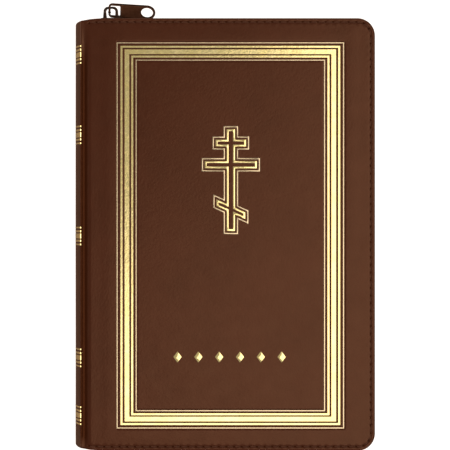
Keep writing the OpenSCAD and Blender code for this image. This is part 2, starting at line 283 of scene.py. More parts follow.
def valley(x, y, places):
    """0 to 1 to 0 across the joint, between four places on x. It runs out at head and tail."""
    low, down, up, high = places
    across = smooth((x - low) / (down - low)) * (1 - smooth((x - up) / (high - up)))
    run_out = sum(loss * smooth((past_end + start) / length) for past_end, (loss, start, length)
                  in ((y - EDGE_Y, HEAD_RUN_OUT), (-y - EDGE_Y, TAIL_RUN_OUT)))
    return across * (1 - run_out)


def groove(x, y=0.0):
    return GROOVE_DEPTH * valley(x, y, GROOVE)


def end_drop(s, y):
    """How far head and tail fall back towards the spine."""
    places = [0, along(SHOULDER_END_X), *(along(HINGE_X + d) for d in END_DROP_PLACES)]
    return np.interp(s, places, END_DROPS) * smooth((np.abs(y) - END_DROP_FROM) / END_DROP_LENGTH)


def u_path(s, x_from, x_edge, y_edge, r):
    """Point and outward normal at length s round head, fore-edge and tail."""
    s = np.asarray(s, float)
    s1 = x_edge - r - x_from
    s2 = s1 + r * math.pi / 2
    s3 = s2 + 2 * (y_edge - r)
    s4 = s3 + r * math.pi / 2
    t = np.where(s < s2, math.pi / 2 - np.clip(s - s1, 0, None) / r, -np.clip(s - s3, 0, s4 - s3) / r)
    t = np.where((s >= s2) & (s <= s3), 0, t)
    normal = np.stack([np.cos(t), np.sin(t)], -1)
    x = x_edge - r + r * normal[..., 0] - np.clip(s1 - s, 0, None) - np.clip(s - s4, 0, None)
    middle = np.where(s < s2, y_edge - r, np.where(s > s3, r - y_edge, y_edge - r - (s - s2)))
    return np.stack([x, middle + r * normal[..., 1]], -1), normal


def u_length(x_from, x_edge, y_edge, r):
    """Whole length of that path."""
    return 2 * (x_edge - r - x_from) + math.pi * r + 2 * (y_edge - r)


STITCH_R = CORNER_R - STITCH_INSET
STITCH_ROW = (STITCH_X, EDGE_X - STITCH_INSET, EDGE_Y - STITCH_INSET, STITCH_R)
STITCHES = 128
STITCH_PITCH = u_length(*STITCH_ROW) / STITCHES


def stitch_place(x, y):
    """Length along the stitched row of the point next to (x, y)."""
    cx, cy = EDGE_X - CORNER_R, EDGE_Y - CORNER_R
    dx, dy = np.maximum(x - cx, 0), np.maximum(np.abs(y) - cy, 0)
    head = cx - STITCH_X
    turn = np.arctan2(dx, np.maximum(dy, 1e-9)) * STITCH_R
    from_head = np.where(dy > 0, np.where(dx > 0, head + turn, x - STITCH_X), 0)
    side = head + STITCH_R * math.pi / 2 + (cy - y)
    total = u_length(*STITCH_ROW)
    return np.where(dy > 0, np.where(y > 0, from_head, total - from_head), side)


def stitch_phase(x, y):
    """Place along the row, in stitches, and distance from the nearest hole."""
    place = stitch_place(x, y) / STITCH_PITCH
    return place, (place - np.round(place)) * STITCH_PITCH


def stamp_inset(x, y):
    """How far inside the stamped frame's outer line a point lies."""
    return np.minimum(STAMP_W / 2 - np.abs(x - STAMP_X), STAMP_H / 2 - np.abs(y - STAMP_Y))


def stamped(x, y):
    """Depth of the stamped frame lines, as a share of the stamp's depth."""
    share = np.zeros_like(x + y)
    for inset, width in STAMP_LINES:
        off = np.maximum(np.abs(x - STAMP_X) - STAMP_W / 2 + inset,
                         np.abs(y - STAMP_Y) - STAMP_H / 2 + STAMP_SQUEEZE * inset)
        share = np.maximum(share, 1 - smooth((np.abs(off) - width / 2 + LINE_WALL / 2) / LINE_WALL))
    return share


# Shallow waves over the cover: height, number per millimetre, direction and phase.
WAVES = [(rng.uniform(0.5, 1), rng.uniform(0.018, 0.075), rng.uniform(0, 2 * math.pi), rng.uniform(0, 6))
         for _ in range(14)]
WAVES_SUM = 5.2  # about as high as they stand together
SWELL_H = 0.07
RIDGE_H, RIDGE_OUT, RIDGE_W = 0.05, 4, 5  # low ridge of leather outside the stamped frame
BACK_SINK = 0.08  # the back cover's face lies a little under the CAD model's
CHANNEL_D, CHANNEL_W = 0.16, 0.42  # channel along the stitches
HOLE_D, HOLE_W = 0.36, 0.5  # their holes, deeper than the channel
PUCKER_H, PUCKER_W = 0.05, 1.3  # leather gathered between the holes
ROW_STARTS = 1.5  # length over which the row of stitches sets in


def swell(x, y):
    """Unevenness of the cover, between about -1 and 1."""
    total = sum(a * np.sin(k * (x * math.cos(d) + y * math.sin(d)) + p) for a, k, d, p in WAVES)
    return total / WAVES_SUM


def ridge(x, y):
    return RIDGE_H * smooth(1 - np.abs(stamp_inset(x, y) + RIDGE_OUT) / RIDGE_W)


def relief(x, y, inset, front):
    """Height of the leather's face over the plain case."""
    h = SWELL_H * swell(x, y)
    h = h - STAMP_DEPTH * stamped(x, y) + ridge(x, y) if front else h - BACK_SINK
    row, off_row = smooth((x - STITCH_X + 1) / ROW_STARTS), inset - STITCH_INSET
    place, from_hole = stitch_phase(x, y)
    pucker = PUCKER_H * bell(off_row, PUCKER_W) * np.cos(2 * math.pi * place)
    return h - bell(off_row, CHANNEL_W) * row * (CHANNEL_D + HOLE_D * bell(from_hole, HOLE_W)) - pucker * row


FOLD_W, FOLD_H, FOLD_BACK_W = 1.15, 1.19, 0.48  # the turned edge: outer width, half height, inner width
FOLD_END = [(0.8, 2.3), (0.93, 2.08), (0.96, 1.5), (0.96, 0.95)]  # inset and depth of its last points
FOLD_POWER = 0.8  # under 1, its corner is fuller than an ellipse's


def edge_profile():
    """(inset, depth) from the flat face round the turned edge to its inner side."""
    rows = [(v, 0.0) for v in (*np.linspace(CORNER_R, 2.75, 7), *np.linspace(2.55, 1.45, 9))]
    bend = lambda v: abs(v) ** FOLD_POWER
    for a in np.radians(np.linspace(0, 90, 10)):
        rows.append((FOLD_W * (1 - bend(math.sin(a))), FOLD_H * (1 - bend(math.cos(a)))))
    for a in np.radians(np.linspace(20, 90, 5)):
        rows.append((FOLD_BACK_W * (1 - bend(math.cos(a))), FOLD_H * (1 + bend(math.sin(a)))))
    return np.array(rows + FOLD_END)


CROWDED = 0.3  # even lines closer than this share of a step are left out


def spread(must, low, high, start, step):
    """Lines at the places in must, and even ones where there's room."""
    must = sorted(v for v in must if low < v < high) + [low, high]
    even = np.arange(start - math.ceil((start - low) / step) * step, high, step)
    fill = [v for v in even if low < v < high and min(abs(v - m) for m in must) > step * CROWDED]
    return np.unique(np.round(must + fill, 5))


def line_places(middle, size, squeeze):
    """Places, along one axis, of the feet of every stamped line's walls."""
    edges = [i * squeeze + side * w / 2 + wall * LINE_WALL / 2 for i, w in STAMP_LINES
             for side in (-1, 1) for wall in (-1, 1)]
    return [middle + side * (size / 2 - e) for e in edges for side in (-1, 1)]


SPINE_STEP = 1.5
# The mesh's close lines over shoulder and joint, and the coarse lines of its inner side.
BEND_LINES = np.r_[np.linspace(SHOULDER_FROM - 1.2, SHOULDER_TO, 10),
                   along(np.linspace(GROOVE[0] + 0.1, GROOVE[3] + 0.1, 18))]
INNER_X, INNER_Y = np.linspace(-64, 62, 12), np.linspace(-96, 96, 16)


def leather_lattice(s_from, front):
    """Each point's place, inset, depth in the turned edge, and place laid flat."""
    profile = edge_profile()
    inset_of, depth_of = profile.T
    length_of = np.r_[0, np.cumsum(np.hypot(*np.diff(profile, axis=0).T))]
    last = len(profile) - 1
    step = STITCH_PITCH / 4
    cover = spread(line_places(STAMP_X, STAMP_W, 1) if front else [],
                   FACE_FROM, EDGE_X - CORNER_R, STITCH_X, step)
    spine = np.linspace(s_from, SHOULDER_FROM - 1.6, max(2, int((SHOULDER_FROM - s_from) / SPINE_STEP)))
    s_lines = np.unique(np.round(np.r_[spine, BEND_LINES, along(cover)], 5))
    s_lines = s_lines[s_lines >= s_from - 1e-6]
    cy = EDGE_Y - CORNER_R
    first_hole = cy + STITCH_R * math.pi / 2 + (EDGE_X - CORNER_R - STITCH_X)
    y_lines = spread(line_places(STAMP_Y, STAMP_H, STAMP_SQUEEZE) if front else [],
                     -cy, cy, first_hole - STITCH_PITCH * round(first_hole / STITCH_PITCH), step)

    s_rim = np.r_[np.zeros(len(s_lines), int), np.arange(1, last + 1)]
    y_rim = np.r_[np.arange(last, 0, -1), np.zeros(len(y_lines), int), np.arange(1, last + 1)]
    side = np.r_[-np.ones(last), np.sign(y_lines), np.ones(last)]
    ks, ky, side = np.broadcast_arrays(s_rim[:, None], y_rim, side)
    s, y = np.broadcast_arrays(np.r_[s_lines, np.full(last, s_lines[-1])][:, None],
                               np.r_[np.full(last, -cy), y_lines, np.full(last, cy)])
    ring = np.maximum(ks, ky)
    turn = np.where(ks >= ky, ky / np.maximum(ks, 1), 2 - ks / np.maximum(ky, 1)) * math.pi / 4
    cos, sin, rim = np.cos(turn), np.sin(turn), ring > 0
    out, flat_out = CORNER_R - inset_of[ring], length_of[ring]
    at_end = (ks == 0) & (ky > 0)
    s_at = np.where(at_end, s, s + np.where(rim, out * cos, 0))
    y_at = y + side * np.where(at_end, out, np.where(rim, out * sin, 0))
    flat = np.stack([np.where(at_end, s, s + flat_out * cos * rim),
                     y + side * np.where(at_end, flat_out, flat_out * sin * rim)], -1)
    y_at = y_at - side * end_drop(s_at, y_at)
    return s_at, y_at, np.where(rim, inset_of[ring], 2 * CORNER_R), depth_of[ring], flat


ROW_SHADE, ROW_SHADE_W, HOLE_SHADE_W = 0.04, 0.48, 0.62  # painted shade along the stitches' channel and in their holes
# Painted shade in the joint's groove and in the stamped lines.
GROOVE_SHADE, STAMP_SHADE = 0.78, 0.7
EDGE_WEAR, WEAR_AT, WEAR_W, WEAR_INSET = 0.3, 0.25, 0.4, 1.1  # lighter leather round the turned edge


def leather_shade(x, y, inset, depth, front):
    """0 on plain leather, up to 1 where shade is painted in (stitch holes, joint groove, stamped lines),
    under 0 where it's worn.
    """
    on_row = bell(inset - STITCH_INSET, ROW_SHADE_W, 4) * (x > STITCH_X - 0.6)
    shade = np.maximum(ROW_SHADE * on_row, on_row * bell(stitch_phase(x, y)[1], HOLE_SHADE_W, 4))
    shade = np.maximum(shade, GROOVE_SHADE * valley(x, y, GROOVE_SHADE_PLACES))
    if front:
        shade = np.maximum(shade, STAMP_SHADE * stamped(x, y))
    wear = bell(depth - WEAR_AT, WEAR_W) * (inset < WEAR_INSET)
    return shade - EDGE_WEAR * wear * (1 - shade)


def close_inside(shape, s_at, y_at, s_from, front):
    """Adds the leather's inner side, and the strip that closes it along the seam."""
    index = np.arange(s_at.size).reshape(s_at.shape)
    border = np.r_[index[:, 0], index[-1, 1:], index[-2::-1, -1]]
    outline = [(s_at.flat[i], y_at.flat[i]) for i in border]
    seam = [(s_from, v) for v in np.linspace(outline[-1][1], outline[0][1], 24)[1:-1]]
    inner_s = np.r_[np.linspace(s_from, SHOULDER_FROM - 1, 6), BEND_LINES[::2], along(INNER_X)]
    inside = [(a, b) for a in inner_s[inner_s > s_from + 0.4] for b in INNER_Y]
    loop = outline + seam
    verts, _, tris, origin, _, _ = delaunay_2d_cdt(
        [Vector(p) for p in loop + inside], [], [list(range(len(loop)))], 1, 1e-4)
    s, y = np.array(verts).T
    x, z, nx, nz = section(s)
    deep = LEATHER_T + groove(x, y)
    fresh = joined(x - nx * deep, y, z - nz * deep)
    known = {j: border[min(o)] for j, o in enumerate(origin) if o and min(o) < len(border)}
    new = {j: n for n, j in enumerate(j for j in range(len(verts)) if j not in known)}
    base = shape.add(fresh[list(new)], [], joined(s, y)[list(new)])
    name_of = lambda j: int(known[j]) if j in known else base + new[j]
    for tri in tris:
        shape.face((name_of(j) for j in facing(tri, verts, not front)), 1)
    found = {i: j for j, o in enumerate(origin) for i in o}
    strip = [int(i) for i in index[0, ::-1]]
    strip += [name_of(found[len(border) + i]) for i in range(len(seam))][::-1]
    all_points = np.concatenate(shape.points)
    plan = [Vector((all_points[i][1], all_points[i][0], 0)) for i in strip]
    for tri in tessellate_polygon([plan]):
        shape.face((strip[i] for i in facing(tri, plan, front)), 1)


def leather_piece(name, s_from, front, paints):
    """Spine side, joint and cover in one skin, with turned edges."""
    s_at, y_at, inset, fold, flat = leather_lattice(s_from, front)
    x, z, nx, nz = section(s_at)
    depth = fold + groove(x, y_at) - relief(x, y_at, inset, front)
    shape = Shape()
    shape.add(joined(x - nx * depth, y_at, z - nz * depth), grid_faces(*x.shape, flip=front), flat, 0,
              leather_shade(x, y_at, inset, fold, front))
    close_inside(shape, s_at, y_at, s_from, front)
    shape.points = [mirror_z(block, front) for block in shape.points]
    return shape.build(name, paints, 50)


# ---------- foil ----------

FOIL_SLOPE, FOIL_SUNK = 0.03, 0.02  # width of the foil's sloped edge, and how deep it reaches


def cover_face(x, y, rise):
    """Points on the front cover's face, at a height over it."""
    return joined(x, y, TOP + SWELL_H * swell(x, y) + ridge(x, y) + rise)


def ribbon(shape, path, width, low, high):
    """A ribbon of foil along a closed path on the front cover."""
    half, rings = width / 2, []
    for out, rise in ((-half, low), (-half + FOIL_SLOPE, high), (half - FOIL_SLOPE, high), (half, low)):
        edge = offset_loop(path, out)
        rings.append(cover_face(edge[:, 0], edge[:, 1], rise))
    rings = np.stack(rings, 1)
    sweep(shape, rings, closed=True, uvs=rings[..., :2], flip=True)


def dense(loop, step):
    """A closed loop with extra points along its sides."""
    points = []
    for a, b in zip(loop, loop[1:] + loop[:1]):
        n = max(1, round(math.dist(a, b) / step))
        points += [tuple(p + (q - p) * i / n for p, q in zip(a, b)) for i in range(n)]
    return points


def dull_since(shape, block):
    """Marks the points from this block on as thin, duller foil."""
    for values in shape.values[block:]:
        values[:] = 1.0


def foil_frame_piece(paints):
    shape = Shape()
    for inset, width in STAMP_LINES:
        block = len(shape.values)
        w, h = STAMP_W / 2 - inset, STAMP_H / 2 - STAMP_SQUEEZE * inset
        loop = box_loop(STAMP_X - w, STAMP_X + w, STAMP_Y - h, STAMP_Y + h)
        ribbon(shape, dense(loop, 2.5), width, -STAMP_DEPTH - FOIL_SUNK, FOIL_RISE - STAMP_DEPTH)
        if width < THIN_LINE:
            dull_since(shape, block)
    return shape.build("foil_frame_lines", paints)


CROSS_X, CROSS_FOOT, CROSS_H = 2.8, 0.2, 52.4
CROSS_BARS = ((14.1, 0.642, 3.25), (8.85, 0.843, 3.15))  # half length, place as a share, half thickness
POST_W, LEVER_W, LEVER_H, LEVER_PLACE = 3.5, 8.5, 3.25, 0.231  # the same of post and slanted bar
LEVER_TILT = math.radians(24.5)
CROSS_INSETS = (0, 0.6, 1.5, 2.4)  # outer and inner side of its outer line, then of its inner line


def cross_loop(inset):
    """The eight-pointed cross's outline, drawn in by inset, anticlockwise."""
    post, reach, half = POST_W - inset, LEVER_W - inset, LEVER_H - inset / math.cos(LEVER_TILT)
    slant = lambda x, edge: (x, LEVER_PLACE * CROSS_H - math.tan(LEVER_TILT) * x + edge)
    right = [(post, inset), slant(post, -half), slant(reach, -half), slant(reach, half), slant(post, half)]
    left = [slant(-post, half), slant(-reach, half), slant(-reach, -half), slant(-post, -half),
            (-post, inset)]
    arms = []
    for length, place, thick in CROSS_BARS:
        low, high = place * CROSS_H - (thick - inset), place * CROSS_H + (thick - inset)
        arms += [(post, low), (length - inset, low), (length - inset, high), (post, high)]
    arms.append((post, CROSS_H - inset))
    mirrored = [(-x, y) for x, y in arms[::-1]]
    return [(CROSS_X + x, CROSS_FOOT + y) for x, y in right + arms + mirrored + left]


def foil_plate(shape, outer, holes=()):
    place = lambda p: cover_face(p[:, 0], p[:, 1], p[:, 2])
    loops = [dense(outer, 1.5)] + [dense(h, 1.5)[::-1] for h in holes]
    slab(shape, loops, -0.1, 0.035, FOIL_SLOPE, place)


def foil_cross_piece(paints):
    shape = Shape()
    loops = [cross_loop(inset) for inset in CROSS_INSETS]
    foil_plate(shape, loops[0], loops[1:2])
    dull_since(shape, 0)
    foil_plate(shape, loops[2], loops[3:])
    return shape.build("foil_cross_lines", paints)


def foil_lozenges_piece(paints):
    """Six plain lozenges in a row."""
    shape = Shape()
    low, high = corners("foil_ornaments")
    half_w, half_h, y = 2.0, (high[1] - low[1]) / 2, (high[1] + low[1]) / 2
    for x in np.linspace(low[0] + half_w, high[0] - half_w, 6):
        foil_plate(shape, [(x - half_w, y), (x, y - half_h), (x + half_w, y), (x, y + half_h)])
    return shape.build("foil_lozenges", paints)


BAND_PLACES = (0.416, 0.2305, -0.0035, -0.285, -0.4185)  # as shares of the book's height
BAND_LINES = ((-4.1, 0.75), (-2.3, 1.0), (0, 2.4), (2.3, 1.0), (4.1, 0.75))  # place and width
BAND_SECTION = ((-1, 0, -0.2), (-1, 0, 0), (-1, 0.04, 0.035))  # side, inset and rise, for half of it
BAND_REACH = 0.7  # share of the shoulder that the bands cross


def spine_bands_piece(paints):
    shape = Shape()
    end = SHOULDER_FROM + BAND_REACH * (SHOULDER_TO - SHOULDER_FROM)
    s = np.r_[np.linspace(-SHOULDER_FROM + 1.2, SHOULDER_FROM - 1, 26), np.linspace(SHOULDER_FROM, end, 6)]
    x, z, nx, nz = section(s)
    rows = [*BAND_SECTION, *((-side, inset, rise) for side, inset, rise in BAND_SECTION[::-1])]
    for share in BAND_PLACES:
        for offset, width in BAND_LINES:
            y = share * 2 * EDGE_Y + offset
            face = relief(x, np.full_like(s, y), 20.0, True)
            ring = np.stack([joined(x + nx * (rise + face), y + side * (width / 2 - inset),
                                    z + nz * (rise + face)) for side, inset, rise in rows], 1)
            sweep(shape, ring, uvs=joined(s[:, None], ring[..., 1]), flip=True)
    return shape.build("spine_foil_lines", paints)


# ---------- stitches ----------

THREAD_R, THREAD_HALF, THREAD_DIP, WANDER = 0.29, 1.45, 0.32, 0.06


def stitching(name, front, paints):
    """One thread between each pair of holes, dipping into them at both ends."""
    shape = Shape()
    t = np.linspace(-1, 1, 11)
    around = np.radians(np.arange(0, 360, 45))
    for i in range(STITCHES):
        half, wander = THREAD_HALF + rng.uniform(-WANDER, WANDER), rng.uniform(-WANDER, WANDER)
        centre, normal = u_path((i + 0.5) * STITCH_PITCH + t * half, *STITCH_ROW)
        centre = centre - normal * (wander + 0.05 * t[:, None])
        base = relief(centre[:, 0], centre[:, 1], np.full(len(t), STITCH_INSET), front)
        r = THREAD_R * (1 - 0.25 * t ** 6)[:, None]
        height = (base + 0.1 - THREAD_DIP * t ** 6)[:, None]
        xy = centre[:, None, :] + normal[:, None, :] * (np.cos(around) * r)[..., None]
        ring = joined(xy[..., 0], xy[..., 1], TOP + height + np.sin(around) * r * 0.8)
        turn_uv = joined(i * 4.0 + t[:, None] * half, np.degrees(around) / 180)
        sweep(shape, mirror_z(ring, front), uvs=turn_uv, flip=not front)
    return shape.build(name, paints, 70)


# ---------- zip ----------

tape_low, tape_high = corners("front_zip_tape")
coil_high = corners("front_zip_coil")[1]
body_low, body_high = corners("slider_body")
ZIP_X, ZIP_Y = tape_high[0], tape_high[1]
ZIP_R = 8.0
ZIP_PATH = (tape_low[0], ZIP_X, ZIP_Y, ZIP_R)
TAPE_T, FOLD_R, WALL_OUT = 0.5, 0.55, -0.25  # the tape's thickness, its fold, and where its wall stands
COIL_H = coil_high[1] - ZIP_Y
WIRE_R, COIL_PITCH, COIL_START, COIL_STEPS = 0.27, 1.5, 1.9, 14


def zip_tape(name, front, paints):
    """A woven tape: a flange under the cover's edge and a wall up to the coil."""
    shape = Shape()
    flange_z = tape_high[2] - 0.22
    # The tape's middle line, as (out, z), from the flange's inner edge to the coil.
    line = [(out, flange_z) for out in (-2.9, -2.1, -1.3)]
    line += [(WALL_OUT - FOLD_R + FOLD_R * math.sin(a), flange_z - FOLD_R + FOLD_R * math.cos(a))
             for a in np.radians(np.linspace(0, 90, 6))]
    wall = np.linspace(flange_z - FOLD_R, tape_low[2] + 0.05, 9)[1:]
    line += [(WALL_OUT - 0.1 * math.sin(math.pi * i / len(wall)), z) for i, z in enumerate(wall, 1)]
    line = np.array(line)
    gap = unit(np.gradient(line, axis=0))
    left = np.stack([-gap[:, 1], gap[:, 0]], 1) * (TAPE_T / 2 - 0.03)
    ring = np.concatenate([line + left, (line - left)[::-1]])
    ring_u = np.r_[0, np.cumsum(np.hypot(*np.diff(ring, axis=0).T))]
    total = u_length(*ZIP_PATH)
    s = np.linspace(0, total, int(total / 1.4))
    centre, normal = u_path(s, *ZIP_PATH)
    out, z = ring.T
    ripple = 0.04 * np.sin(s[:, None] * 0.21) * smooth((flange_z - 2 - z) / 4)
    xy = centre[:, None, :] + normal[:, None, :] * (out + ripple)[..., None]
    skin = mirror_z(joined(xy[..., 0], xy[..., 1], z), front)
    sweep(shape, skin, uvs=joined(s[:, None], ring_u), flip=front)
    return shape.build(name, paints, 60)


def zip_coil(name, front, paints):
    """A nylon coil on the tape's edge. The two are half a pitch apart, so they mesh."""
    shape = Shape()
    turns = int((u_length(*ZIP_PATH) - 2 * COIL_START) / COIL_PITCH) - 1
    t = np.arange(turns * COIL_STEPS + 1) / COIL_STEPS
    phase = 2 * math.pi * t
    low = MID - 0.3
    reach = (coil_high[2] - low) / 2 - WIRE_R
    s = COIL_START + (0.0 if front else COIL_PITCH / 2) + COIL_PITCH * (t + 0.07 * np.sin(2 * phase))
    out = COIL_H / 2 + (COIL_H / 2 - WIRE_R) * np.sin(phase)
    centre, normal = u_path(s, *ZIP_PATH)
    points = joined(*(centre + normal * out[:, None]).T, low + reach + WIRE_R - reach * np.cos(phase))
    tangent = unit(np.gradient(points, axis=0))
    side = unit(np.cross(tangent, joined(normal[:, 1], -normal[:, 0], 0 * t)))
    up = np.cross(side, tangent)
    a = np.radians(np.arange(0, 360, 60))[:, None]
    ring = points[:, None, :] + WIRE_R * (np.cos(a) * side[:, None, :] + np.sin(a) * up[:, None, :])
    sweep(shape, mirror_z(ring, front), uvs=joined(t[:, None] * 4, np.arange(6) * 0.28), flip=front)
    return shape.build(name, paints, 80)


# ---------- slider and pull tab ----------

def rounded(points, radii, steps=5):
    """A closed polygon, anticlockwise, with its corners rounded."""
    p = np.asarray(points, float)
    out = []
    for i, r in enumerate(radii):
        a, b, c = p[i - 1], p[i], p[(i + 1) % len(p)]
        if r <= 0:
            out.append(tuple(b))
            continue
        u, v = unit(a - b), unit(c - b)
        half = math.acos(np.clip(np.dot(u, v), -1, 1)) / 2
        centre = b + unit(u + v) * r / math.sin(half)
        start, end = (math.atan2(*(b + w * r / math.tan(half) - centre)[::-1]) for w in (u, v))
        turn = (end - start + math.pi) % (2 * math.pi) - math.pi
        turns = start + turn * np.arange(steps + 1) / steps
        out += [tuple(centre + r * np.array([math.cos(a), math.sin(a)])) for a in turns]
    return out


def on_wall(x_from):
    """Places (along the chain, across it, out of the wall) on the zip's wall."""
    return lambda p: np.stack([x_from + p[:, 0], p[:, 2], MID - p[:, 1]], -1)


PLATE_T, BITE = 0.8, 0.15  # the slider's plates, and how far its post and lip reach into them
NOSE_FROM, NOSE_CUT = 0.6, 1.8  # where its nose starts, as a share of its length, and how it tapers


def slider_piece(paints):
    shape = Shape()
    length, half = body_high[0] - body_low[0], (body_high[2] - body_low[2]) / 2
    low, high, nose = body_low[1], body_high[1], length * NOSE_FROM
    plate = rounded([(0, -half), (nose, -half), (length, NOSE_CUT - half), (length, half - NOSE_CUT),
                     (nose, half), (0, half)], [1.2, 3.0, 1.0, 1.0, 3.0, 1.2])
    place = on_wall(body_low[0])
    slab(shape, [plate], low + 0.02, low + PLATE_T, 0.25, place)
    slab(shape, [plate], high - PLATE_T, high - 0.02, 0.25, place)
    post = rounded([(0.8, -0.4), (3.2, -0.15), (3.2, 0.15), (0.8, 0.4)], [0.15, 0.1, 0.1, 0.15], 3)
    slab(shape, [post], low + PLATE_T - BITE, high - PLATE_T + BITE, 0.05, place)
    lip_at = MID - corners("back_zip_coil")[0][2] + 0.25
    lip = rounded(box_loop(1, 1 + length * 0.5, lip_at, lip_at + 1.2), [0.35] * 4, 3)
    slab(shape, [lip], ZIP_Y + 0.45, high - PLATE_T + BITE, 0.1, place)
    return shape.build("slider_plates", paints, 30)


def crown_piece(paints):
    """The arch that holds the pull tab, with a low ramp behind."""
    shape = Shape()
    low, high = corners("slider_crown")
    w, h, thick = high - low
    outer = rounded([(-0.1, -0.15), (w + 2.9, -0.15), (w + 2.9, 0.15), (w + 0.35, 1.7), (w + 0.1, h),
                     (0.35, h)], [0, 0, 0.1, 0.8, 2.3, 2.3], 8)
    inner = rounded([(1.9, -0.15), (w - 1.2, -0.15), (w - 1.05, h - 1), (1.3, h - 1)], [0, 0, 1.5, 1.5], 8)
    loop = outer[1:] + outer[:1] + inner[:1] + inner[:1:-1] + inner[1:2]
    place = lambda p: joined(low[0] + p[:, 0], low[1] + p[:, 1], MID - thick / 2 + p[:, 2])
    slab(shape, [loop], 0.0, thick, 0.28, place)
    return shape.build("slider_crown_arch", paints, 30)


TAB_PIVOT = joint_place("tab_swing")
TAB_LEAN, TAB_TURN = math.radians(40), math.radians(-3.6)
TAB_SHIFT = 1.2  # sideways on the crown
TAB_LENGTH, TAB_R, TAB_BAR, TAB_T = 23.1, 4.1, 1.0, 0.9
TAB_SLOT, TAB_HOLE_R = (4.8, 3), 2.95  # the slot's length and half width, and the hole
NECK_R, NECK_HALF = 0.72, 0.68  # thread wound round the tab's bar, under the crown


def tab_place(p):
    """From the tab's own plane (length, width, thickness) to where it hangs at rest."""
    x, y, z = p[:, 0], p[:, 1] + TAB_SHIFT, p[:, 2]
    y, z = y * math.cos(TAB_LEAN) - z * math.sin(TAB_LEAN), y * math.sin(TAB_LEAN) + z * math.cos(TAB_LEAN)
    x, y = x * math.cos(TAB_TURN) - y * math.sin(TAB_TURN), x * math.sin(TAB_TURN) + y * math.cos(TAB_TURN)
    return joined(x, y, z) + TAB_PIVOT


def tab_piece(paints):
    shape = Shape()
    r, near, far = TAB_R, TAB_BAR / 2, TAB_LENGTH - TAB_R - TAB_BAR / 2
    outer = arc(far, 0, r, -90, 90, 25).tolist() + rounded(
        [(far, r), (-near, r), (-near, -r), (far, -r)], [0, 2, 2, 0], 7)[1:-1]
    slot = rounded(box_loop(near, near + TAB_SLOT[0], -TAB_SLOT[1], TAB_SLOT[1]), [0.5] * 4, 4)[::-1]
    hole = arc(far, 0, TAB_HOLE_R, 360, 0, 41)[:-1].tolist()
    # Faces take the lighter painted-light copy of the tab's paint; sides and the wound thread take the
    # darker painted-shade copy.
    slab(shape, [outer, slot, hole], -TAB_T / 2, TAB_T / 2, 0.16, tab_place, 0, 1)
    t = np.linspace(-NECK_HALF, NECK_HALF, 7)[:, None]
    around = np.radians(np.arange(0, 360, 22.5))
    r = NECK_R * np.sqrt(1 - (t / 0.95) ** 8)
    sweep(shape, joined(r * np.cos(around), r * np.sin(around), t) + TAB_PIVOT, group=1)
    return shape.build("pull_tab_strip", paints, 30)


# ---------- pages ----------

BLOCK_LEAVES = 56
HALF_GAP = 0.02  # between the halves of the block, on each side of its middle
LEAF_SECTION = ((0.04, 0.07), (0.22, 0.0), (0.78, 0.0), (0.96, 0.07))  # height as a share, and inset


def half_span(low, high, front):
    """Heights of a piece's front or back half."""
    return (MID + HALF_GAP, high[2]) if front else (low[2], MID - HALF_GAP)


def half_block(name, nodes, front, paints):
    """Half of the page block: thin leaves with slightly uneven edges."""
    shape = Shape()
    boxes = [corners(n) for n in nodes]
    low, high = np.min([b[0] for b in boxes], 0), np.max([b[1] for b in boxes], 0)
    w, h = high[0] - low[0], high[1]
    outline = dense(rounded(box_loop(low[0], high[0], -h, h), [0, 5, 5, 0], 7), 7)
    z_from, z_to = half_span(low, high, front)
    leaf = (z_to - z_from) / BLOCK_LEAVES
    rings, uv = [], []
    place = np.arange(len(outline))
    for i in range(BLOCK_LEAVES):
        base = 0.02 + 0.05 * rng.random() + 0.04 * abs(math.sin(i * 0.9))
        wave = base + 0.03 * np.sin(place * 0.35 + rng.uniform(0, 6))
        for share, extra in LEAF_SECTION:
            edge = np.asarray(outline) * (1 - (wave + extra)[:, None] / np.array([w / 2, h]))
            z = z_from + leaf * (i + share)
            rings.append(joined(*edge.T, z))
            uv.append(joined(place * 7.0, z))
    rings = np.stack(rings)
    sweep(shape, rings, uvs=np.stack(uv), caps=False)
    face = list(range(len(outline)))
    shape.add(rings[0], [face[::-1]], rings[0][:, :2], 1)
    shape.add(rings[-1], [face], rings[-1][:, :2], 1)
    return shape.build(name, paints, 35)


def end_band(name, node, front, paints):
    """Half of a headband: a bead of wound thread."""
    shape = Shape()
    low, high = corners(node)
    z = np.linspace(*half_span(low, high, front), 90)[:, None]
    centre_x, centre_y = low[0] + 0.8, (low[1] + high[1]) / 2
    around = np.radians(np.arange(0, 360, 30))
    bead = 0.62 + 0.05 * np.abs(np.sin(z * 4.2))
    ring = joined(centre_x + bead * np.cos(around), centre_y + bead * np.sin(around), z)
    sweep(shape, ring, uvs=joined(z, np.degrees(around) / 100))
    return shape.build(name, paints, 60)


def mull_half(name, front, paints):
    """Half of the gauze on the back of the block."""
    shape = Shape()
    low, high = corners("spine_mull")
    rows, columns = 20, 60
    z, y = np.linspace(*half_span(low, high, front), rows)[:, None], np.linspace(low[1], high[1], columns)
    for x, flip in ((low[0], True), (high[0], False)):
        grid = joined(x, y, z)
        shape.add(grid, grid_faces(rows, columns, flip=not flip), grid[..., 1:])
    index = np.arange(rows * columns).reshape(rows, columns)
    edge = [*index[0], *index[1:, -1], *index[-1, -2::-1], *index[-2:0:-1, 0]]
    for a, b in zip(edge, edge[1:] + edge[:1]):
        shape.face((a, b, b + index.size, a + index.size))
    return shape.build(name, paints, 60)


# ---------- materials ----------

def srgb(*levels):
    """0-255 colour as Blender's linear RGBA."""
    shares = [v / 255 for v in levels]
    return (*[v / 12.92 if v <= 0.04045 else ((v + 0.055) / 1.055) ** 2.4 for v in shares], 1.0)


